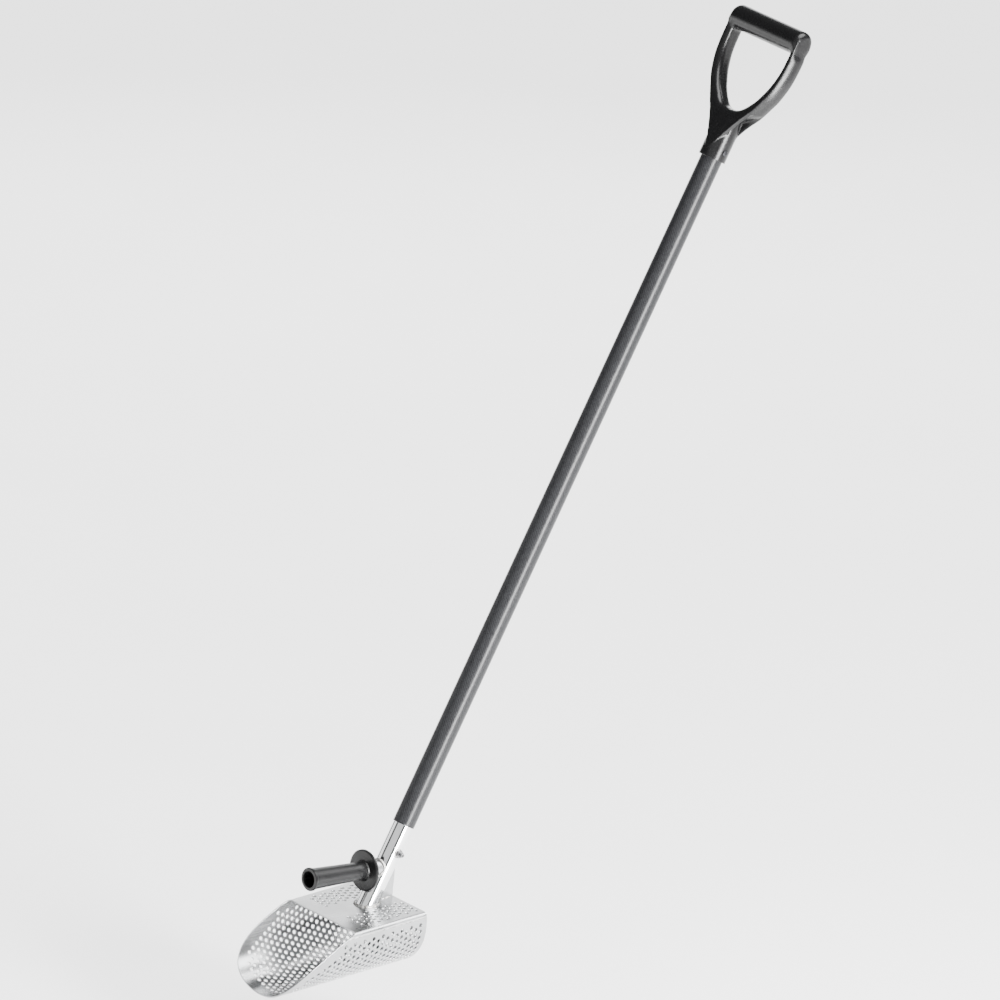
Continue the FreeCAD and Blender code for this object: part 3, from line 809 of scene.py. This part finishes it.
def carbon_weave(name):
    """Clear-coated 2x2 twill wrapped round the pole."""
    s = Surface(name, (0.03, 0.03, 0.033), roughness=0.34)
    s.shader.inputs["Specular IOR Level"].default_value = 0.14
    s.shader.inputs["Coat Weight"].default_value = 0.15
    s.shader.inputs["Coat Roughness"].default_value = 0.24
    s.shader.inputs["Coat IOR"].default_value = 1.5
    tow = 1.15 * MM
    tilt = math.atan2(POLE_AXIS.y, POLE_AXIS.z)
    moved = s.node("ShaderNodeVectorMath", {0: s.place, 1: POLE_FOOT}, operation="SUBTRACT").outputs[0]
    upright = s.node("ShaderNodeVectorRotate", {"Vector": moved, "Angle": tilt},
                     rotation_type="X_AXIS").outputs[0]
    split = s.node("ShaderNodeSeparateXYZ", {0: upright})
    angle = s.math("ARCTAN2", split.outputs[1], split.outputs[0])
    radius = (high("carbon_pole").x - low("carbon_pole").x) / 2
    tows_round = round(2 * math.pi * radius / tow / 4) * 4
    across = s.math("MULTIPLY", angle, tows_round / (2 * math.pi))
    along = s.math("DIVIDE", split.outputs[2], tow)
    cell_across = s.math("FLOOR", across)
    cell_along = s.math("FLOOR", along)
    step = s.math("FLOORED_MODULO", s.math("ADD", cell_across, cell_along), 4.0)
    is_warp = s.math("LESS_THAN", step, 2.0)
    # each tow is a rounded strand: its height falls off towards both sides
    side_across = s.math("ABSOLUTE", s.math("SUBTRACT", s.math("FRACT", across), 0.5))
    side_along = s.math("ABSOLUTE", s.math("SUBTRACT", s.math("FRACT", along), 0.5))
    warp_height = s.math("SUBTRACT", 1.0, s.math("POWER", s.math("MULTIPLY", side_across, 2.0), 3.0))
    weft_height = s.math("SUBTRACT", 1.0, s.math("POWER", s.math("MULTIPLY", side_along, 2.0), 3.0))
    height = s.node("ShaderNodeMix", {"Factor": is_warp, "A": weft_height, "B": warp_height}).outputs[0]
    fibres = s.noise(1.0, 2.0, s.mapped((5200, 5200, 240), rotation=(-tilt, 0, 0)))
    cell = s.node("ShaderNodeCombineXYZ", {0: cell_across, 1: cell_along}).outputs[0]
    grain = s.node("ShaderNodeTexWhiteNoise", {"Vector": cell}, noise_dimensions="2D").outputs["Value"]
    warp_colour = s.blend(s.ramp(fibres, 0, 1), (0.01, 0.01, 0.011), (0.032, 0.033, 0.035))
    weft_colour = s.blend(s.ramp(fibres, 0, 1), (0.003, 0.003, 0.0035), (0.009, 0.009, 0.01))
    bright = s.math("ADD", s.math("MULTIPLY", is_warp, 0.45), s.math("MULTIPLY", grain, 0.55))
    s.colour(s.blend(bright, weft_colour, warp_colour))
    s.roughness(s.ramp(height, 0.38, 0.26, 0.0, 1.0))
    s.bump(s.math("MULTIPLY", height, s.math("ADD", grain, 0.4)), 0.0001, 0.4)
    return s.material


def floor_paint(name, grey):
    """Matt studio paint, barely uneven."""
    s = Surface(name, (grey, grey, grey), roughness=0.85)
    soft = s.noise(3.0, 2.0)
    s.colour(s.blend(s.ramp(soft, 0, 1), (grey * 0.99, ) * 3, (grey * 1.01, ) * 3))
    return s.material


SHEET_STEEL = sheet_steel("scoop_sheet_steel", (0.4, 0.405, 0.41), 0.2)
PLATE_STEEL = sheet_steel("plate_sheet_steel", (0.48, 0.485, 0.49), 0.28)
TUBE_STEEL = polished_steel("polished_tube_steel")
WELD_STEEL = weld_steel("weld_bead_metal")
BRACKET_STEEL = sheet_steel("bracket_steel", (0.4, 0.405, 0.41), 0.3)
SCREW_STEEL = turned_steel("fastener_steel")
DARK_STEEL = turned_steel("dull_fastener_steel", (0.26, 0.26, 0.265))
BLACK_STEEL = turned_steel("blackened_steel", (0.06, 0.06, 0.065))
BRASS = turned_steel("brass", (0.78, 0.6, 0.3))
LINER = turned_steel("turned_aluminium", (0.78, 0.79, 0.8))
GRIP_PLASTIC = moulded_plastic("side_grip_plastic", (0.004, 0.004, 0.0042), 0.32, 1500.0)
HANDLE_PLASTIC = moulded_plastic("d_handle_plastic", (0.005, 0.005, 0.0052), 0.23, 1300.0)
CARBON = carbon_weave("carbon_twill")
FLOOR_WHITE = floor_paint("floor_white", 0.93)


# ---- pieces: scoop head ----------------------------------------------------------------------

trough_edge = sheet_outline(WALL_TOP_U, trough_surface, lip_v)
trough = add_object("trough_sheet", sheet_mesh("trough_sheet", trough_edge, trough_centres(trough_edge),
                                               trough_surface), "scoop_head", SHEET_STEEL)
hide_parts("scoop_shell")

plate_edge = sheet_outline(PLATE_EDGE_U, plate_surface, lip_v)
plate = add_object("top_sheet", sheet_mesh("top_sheet", plate_edge, plate_centres(), plate_surface),
                   "scoop_head", PLATE_STEEL)
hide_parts("top_plate")

back = add_object("rear_sheet", sheet_mesh("rear_sheet", rear_outline(), rear_centres(), rear_surface),
                  "scoop_head", SHEET_STEEL)
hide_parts("rear_plate")

foot = add_object("foot_bead", bead_mesh("foot_bead", *foot_path(), FOOT_BEAD, True, 2.2 * MM),
                  "scoop_head", WELD_STEEL)
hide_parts("foot_weld")

boss_ring = ring_on_tube(GRIP_AXIS, GRIP_CENTRE, BOSS_RADIUS + 0.7 * MM, 0.5 * MM, RING_STEPS)
boss = add_object("boss_bead", bead_mesh("boss_bead", *boss_ring, BOSS_BEAD, True, 2.4 * MM),
                  "scoop_head", WELD_STEEL)
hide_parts("boss_weld")

nut_ring = ring_on_tube(X, CLAMP_CENTRE, NUT_WELD_RADIUS, 0.3 * MM, 120)
nut_bead = add_object("nut_bead", bead_mesh("nut_bead", *nut_ring, NUT_BEAD, True, 1.5 * MM),
                      "scoop_head", WELD_STEEL)
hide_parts("clamp_weld")

# beads along both faces of the gusset, on the plate and up the tube
gusset_half = high("gusset_plate").x
bead_gap = 0.3 * MM
tube_run = POLE_AXIS * 26 * MM
tube_back = POLE_FOOT + tube_run - POLE_FRONT * (TUBE_RADIUS + bead_gap)
gusset_beads = []
for side in (-1, 1):
    start = Vector((side * gusset_half, REAR_Y - 22 * MM, TOP_Z + bead_gap))
    end = Vector((side * gusset_half, REAR_Y - 4.5 * MM, TOP_Z + bead_gap))
    path = straight_path(start, end)
    up = Vector((side * 0.8, 0, 1))
    gusset_beads.append(bead_mesh("bead", path, [up] * len(path), GUSSET_PLATE_BEAD, False))
    start = tube_back + X * side * gusset_half
    path = straight_path(start, start + tube_run)
    up = Vector((side * 0.9, 0, 0)) - POLE_FRONT
    gusset_beads.append(bead_mesh("bead", path, [up] * len(path), GUSSET_TUBE_BEAD, False))
gusset = add_object("gusset_beads", joined("gusset_beads", gusset_beads), "scoop_head", WELD_STEEL)
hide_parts("gusset_welds")

# bead round the rear plate, and the ground seams beside the top plate
rear_line = rear_path()
rear_mesh = bead_mesh("rear_bead", rear_line, [Y] * len(rear_line), REAR_BEAD, False, 2 * MM)
rear = add_object("rear_bead", rear_mesh, "scoop_head", WELD_STEEL)
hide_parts("rear_weld")

seam_x = HALF_WIDTH - 0.35 * MM
seam_back = REAR_Y - 0.5 * MM
seam_front = REAR_Y - lip_v(SEAM_Z) + 3 * MM
seams = []
for side in (-1, 1):
    path = straight_path(Vector((side * seam_x, seam_back, SEAM_Z)),
                         Vector((side * seam_x, seam_front, SEAM_Z)), 0.6 * MM)
    seams.append(bead_mesh("seam", path, [X * side] * len(path), SEAM_BEAD, False, 1.6 * MM))
seam = add_object("seam_beads", joined("seam_beads", seams), "scoop_head", WELD_STEEL)
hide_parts("seam_welds")

# ---- pieces: D-handle ------------------------------------------------------------------------

# millimetres: x across the handle, n towards its flat front, s along the pole from the socket
SOCKET_RADIUS = 20.0
SOCKET_TOP = 84.0            # where the socket has sunk into the legs
SOCKET_BORE_RADIUS = 16.05
SOCKET_BORE_END = 48.0
SCREW_S = 14.0
SCREW_HOLE_RADIUS = 3.4
SCREW_HOLE_FLOOR = 17.5
BAR_S = 199.0
BAR_RADIUS = 18.0
BAR_HALF_LENGTH = 72.5
FRONT = 13.5                 # the legs' flat front
BACK = -16.0
SOCKET_FRONT = 19.6          # the front plane starts here at the socket and falls to FRONT
BULGE_RADIUS = 26.0          # round outer side of the legs
BULGE_MIDDLE = -2.0
GROOVE_DEPTH = 11.0
# how softly neighbouring surfaces run into each other
SHARP = 0.7
SOCKET_FILLET = 1.6
BAR_FILLET = 5.0
BACK_ROUND = 7.0
LEG_TOP_ROUND = 10.0
BAR_END_ROUND = 11.0
OPENING_ROUND = 11.0         # at the bar
OPENING_NECK_EXTRA = 3.0     # added towards the neck
GRID_STEP = 1.1
# half outlines as (x, s): the ridge round the front face, and the hand opening
RIDGE = curve_through([(4, 14), (13, 32), (21.5, 48), (31, 64), (41.5, 79), (52.5, 98), (61, 115),
                       (68.5, 142), (70.6, 175), (70, 199)])
OPENING = curve_through([(0, 75.5), (12, 77.5), (22, 83), (37, 98), (45, 110), (53, 127), (59, 150),
                         (60.5, 175), (60.5, 200)])


def handle_field(x, n, s):
    """Negative inside the moulded D-handle."""
    side = np.abs(x)
    ridge_x = np.interp(s, RIDGE[:, 1], RIDGE[:, 0], left=0)
    within = np.where(side < ridge_x, 1, -1) * distance_to(RIDGE, side, s)
    opening_x = np.interp(s, OPENING[:, 1], OPENING[:, 0])
    in_opening = (side < opening_x) & (s > OPENING[0, 1])
    beside = np.where(in_opening, -1, 1) * distance_to(OPENING, side, s)

    # the outer side swells behind the ridge along the legs, and stays flat at neck and bar
    arc = np.sqrt(np.maximum(BULGE_RADIUS ** 2 - (n - BULGE_MIDDLE) ** 2, 0))
    flat = math.sqrt(BULGE_RADIUS ** 2 - (FRONT - BULGE_MIDDLE) ** 2)
    swell = (arc - flat) * smooth_step(s, 45, 85) * (1 - smooth_step(s, 170, 192))
    # beside the socket a groove runs between the front web and the body behind it
    across_groove = smooth_step(n, 10, 6) * smooth_step(n, -11, -6)
    groove = GROOVE_DEPTH * across_groove * (1 - smooth_step(s, 62, 84))
    front = n - np.interp(s, [12, 86], [SOCKET_FRONT, FRONT])
    back = np.interp(s, [10, 45, 80], [-8, -15, BACK]) - n
    legs = soft_max(groove - within - np.maximum(swell, 0), front, SHARP)
    legs = soft_max(soft_max(legs, back, BACK_ROUND), s - BAR_S, LEG_TOP_ROUND)

    from_axis = np.hypot(x, n)
    crown = np.interp(s, [62, 82], [SOCKET_RADIUS, 12.0])
    socket = np.maximum(np.maximum(from_axis - crown, s - SOCKET_TOP), -s)
    socket = soft_max(socket, front, SHARP)
    opening_round = OPENING_ROUND + OPENING_NECK_EXTRA * smooth_step(s, 110, 80)
    body = soft_max(soft_min(legs, socket, SOCKET_FILLET), -beside, opening_round)
    bar = np.hypot(n, s - BAR_S) - BAR_RADIUS
    bar = soft_max(bar, side - BAR_HALF_LENGTH, BAR_END_ROUND)
    body = soft_min(body, bar, BAR_FILLET)
    bore = np.maximum(from_axis - SOCKET_BORE_RADIUS, s - SOCKET_BORE_END)
    screw_hole = np.maximum(np.hypot(n, s - SCREW_S) - SCREW_HOLE_RADIUS, SCREW_HOLE_FLOOR - x)
    return np.maximum(body, -np.minimum(bore, screw_hole))


screw_centre = centre("d_handle_screw")
socket_foot = screw_centre - X * screw_centre.x - POLE_AXIS * SCREW_S * MM
handle_place = placed(socket_foot, X, POLE_FRONT, POLE_AXIS) @ Matrix.Scale(MM, 4)
grip_mesh = implicit_mesh("d_grip_moulding", handle_field, (-79, -21, -2), (79, 22, 220), GRID_STEP,
                          handle_place)
grip = add_object("d_grip_moulding", grip_mesh, "handle", HANDLE_PLASTIC)
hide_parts("d_handle")

# ---- carried-over CAD pieces get their materials ---------------------------------------------

FINISHES = {
    "socket_tube": TUBE_STEEL,
    "gusset_plate": BRACKET_STEEL,
    "grip_boss": BRACKET_STEEL,
    "clamp_nut": DARK_STEEL,
    "clamp_screw": DARK_STEEL,
    "clamp_screw_tip": BRASS,
    "side_grip": GRIP_PLASTIC,
    "grip_stud": SCREW_STEEL,
    "grip_washer": SCREW_STEEL,
    "carbon_pole": CARBON,
    "pole_spigot": LINER,
    "d_handle_screw": BLACK_STEEL,
}
for node, material in FINISHES.items():
    for material_slot in nodes[node].material_slots:
        material_slot.material = material

# ---- floor, light and camera -----------------------------------------------------------------

FLOOR_HALF = 30
floor_corners = [(-FLOOR_HALF, -FLOOR_HALF, 0), (FLOOR_HALF, -FLOOR_HALF, 0),
                 (FLOOR_HALF, FLOOR_HALF, 0), (-FLOOR_HALF, FLOOR_HALF, 0)]
floor_mesh = bpy.data.meshes.new("floor")
floor_mesh.from_pydata(floor_corners, [], [(0, 1, 2, 3)])
floor = bpy.data.objects.new("floor", floor_mesh)
# the floor leaves room for the scoop head at the end of its slide
head_travel = joints["head_slide"]["range_m"][1]
floor.location.z = BOTTOM_Z - head_travel * POLE_AXIS.z
bpy.context.scene.collection.objects.link(floor)
floor_mesh.materials.append(FLOOR_WHITE)

world = bpy.data.worlds.new("studio")
bpy.context.scene.world = world
world.use_nodes = True
background = world.node_tree.nodes["Background"]
background.inputs["Color"].default_value = (0.97, 0.98, 1.0, 1)
background.inputs["Strength"].default_value = 0.15

middle = Vector([(a + b) / 2 for a, b in zip(*cad_bounds)])


def softbox(name, place, size, power, target=middle, upright=Z):
    """A rectangular light that faces a target, with its long side near upright."""
    light = bpy.data.lights.new(name, "AREA")
    light.shape = "RECTANGLE"
    light.size = size[0]
    light.size_y = size[1]
    light.energy = power
    lamp = bpy.data.objects.new(name, light)
    away = (Vector(place) - target).normalized()
    side = upright.cross(away).normalized()
    lamp.matrix_world = placed(place, side, away.cross(side), away)
    bpy.context.scene.collection.objects.link(lamp)


overhead_light = bpy.data.lights.new("overhead", "SUN")
overhead_light.energy = 10.0
overhead_light.angle = math.radians(60)
overhead = bpy.data.objects.new("overhead", overhead_light)
overhead.rotation_euler = Vector((0.35, 0.3, 0.87)).to_track_quat("Z", "Y").to_euler()
bpy.context.scene.collection.objects.link(overhead)
# the right-hand light is tall and narrow, and makes the stripe down the pole
softbox("right", (2.59, -0.1, 0.85), (0.8, 2.0), 400, target=Vector((0, 0.1, 0.7)), upright=POLE_AXIS)
softbox("front", (0.7, -2.0, 1.5), (3.0, 2.0), 18)
softbox("left", (-2.2, -1.7, 0.9), (1.4, 1.4), 12)
softbox("back_left", (-2.5, 2.1, 1.4), (2.2, 1.6), 40)

# the camera stands far off with a long lens, in front of the mouth and to its right
CAMERA_AZIMUTH = math.radians(47.96)
CAMERA_ELEVATION = math.radians(22.09)
CAMERA_ROLL = math.radians(3.03)
CAMERA_DISTANCE = 30.0
FRAME_WIDTH = 1 / 0.7091              # what the picture spans at the aim: a metre fills 0.7091 of it
SENSOR_WIDTH = 36
AIM = POLE_FOOT + Vector((0, 0.2123, 0.567))

towards = Vector((math.sin(CAMERA_AZIMUTH) * math.cos(CAMERA_ELEVATION),
                  -math.cos(CAMERA_AZIMUTH) * math.cos(CAMERA_ELEVATION),
                  math.sin(CAMERA_ELEVATION)))
right = Vector((math.cos(CAMERA_AZIMUTH), math.sin(CAMERA_AZIMUTH), 0))
up = towards.cross(right)
rolled_right = right * math.cos(CAMERA_ROLL) + up * math.sin(CAMERA_ROLL)
rolled_up = up * math.cos(CAMERA_ROLL) - right * math.sin(CAMERA_ROLL)
lens = bpy.data.cameras.new("camera")
lens.sensor_width = SENSOR_WIDTH
lens.lens = SENSOR_WIDTH * CAMERA_DISTANCE / FRAME_WIDTH
lens.clip_end = 100
camera = bpy.data.objects.new("camera", lens)
camera.matrix_world = placed(AIM + towards * CAMERA_DISTANCE, rolled_right, rolled_up, towards)
bpy.context.scene.collection.objects.link(camera)
bpy.context.scene.camera = camera
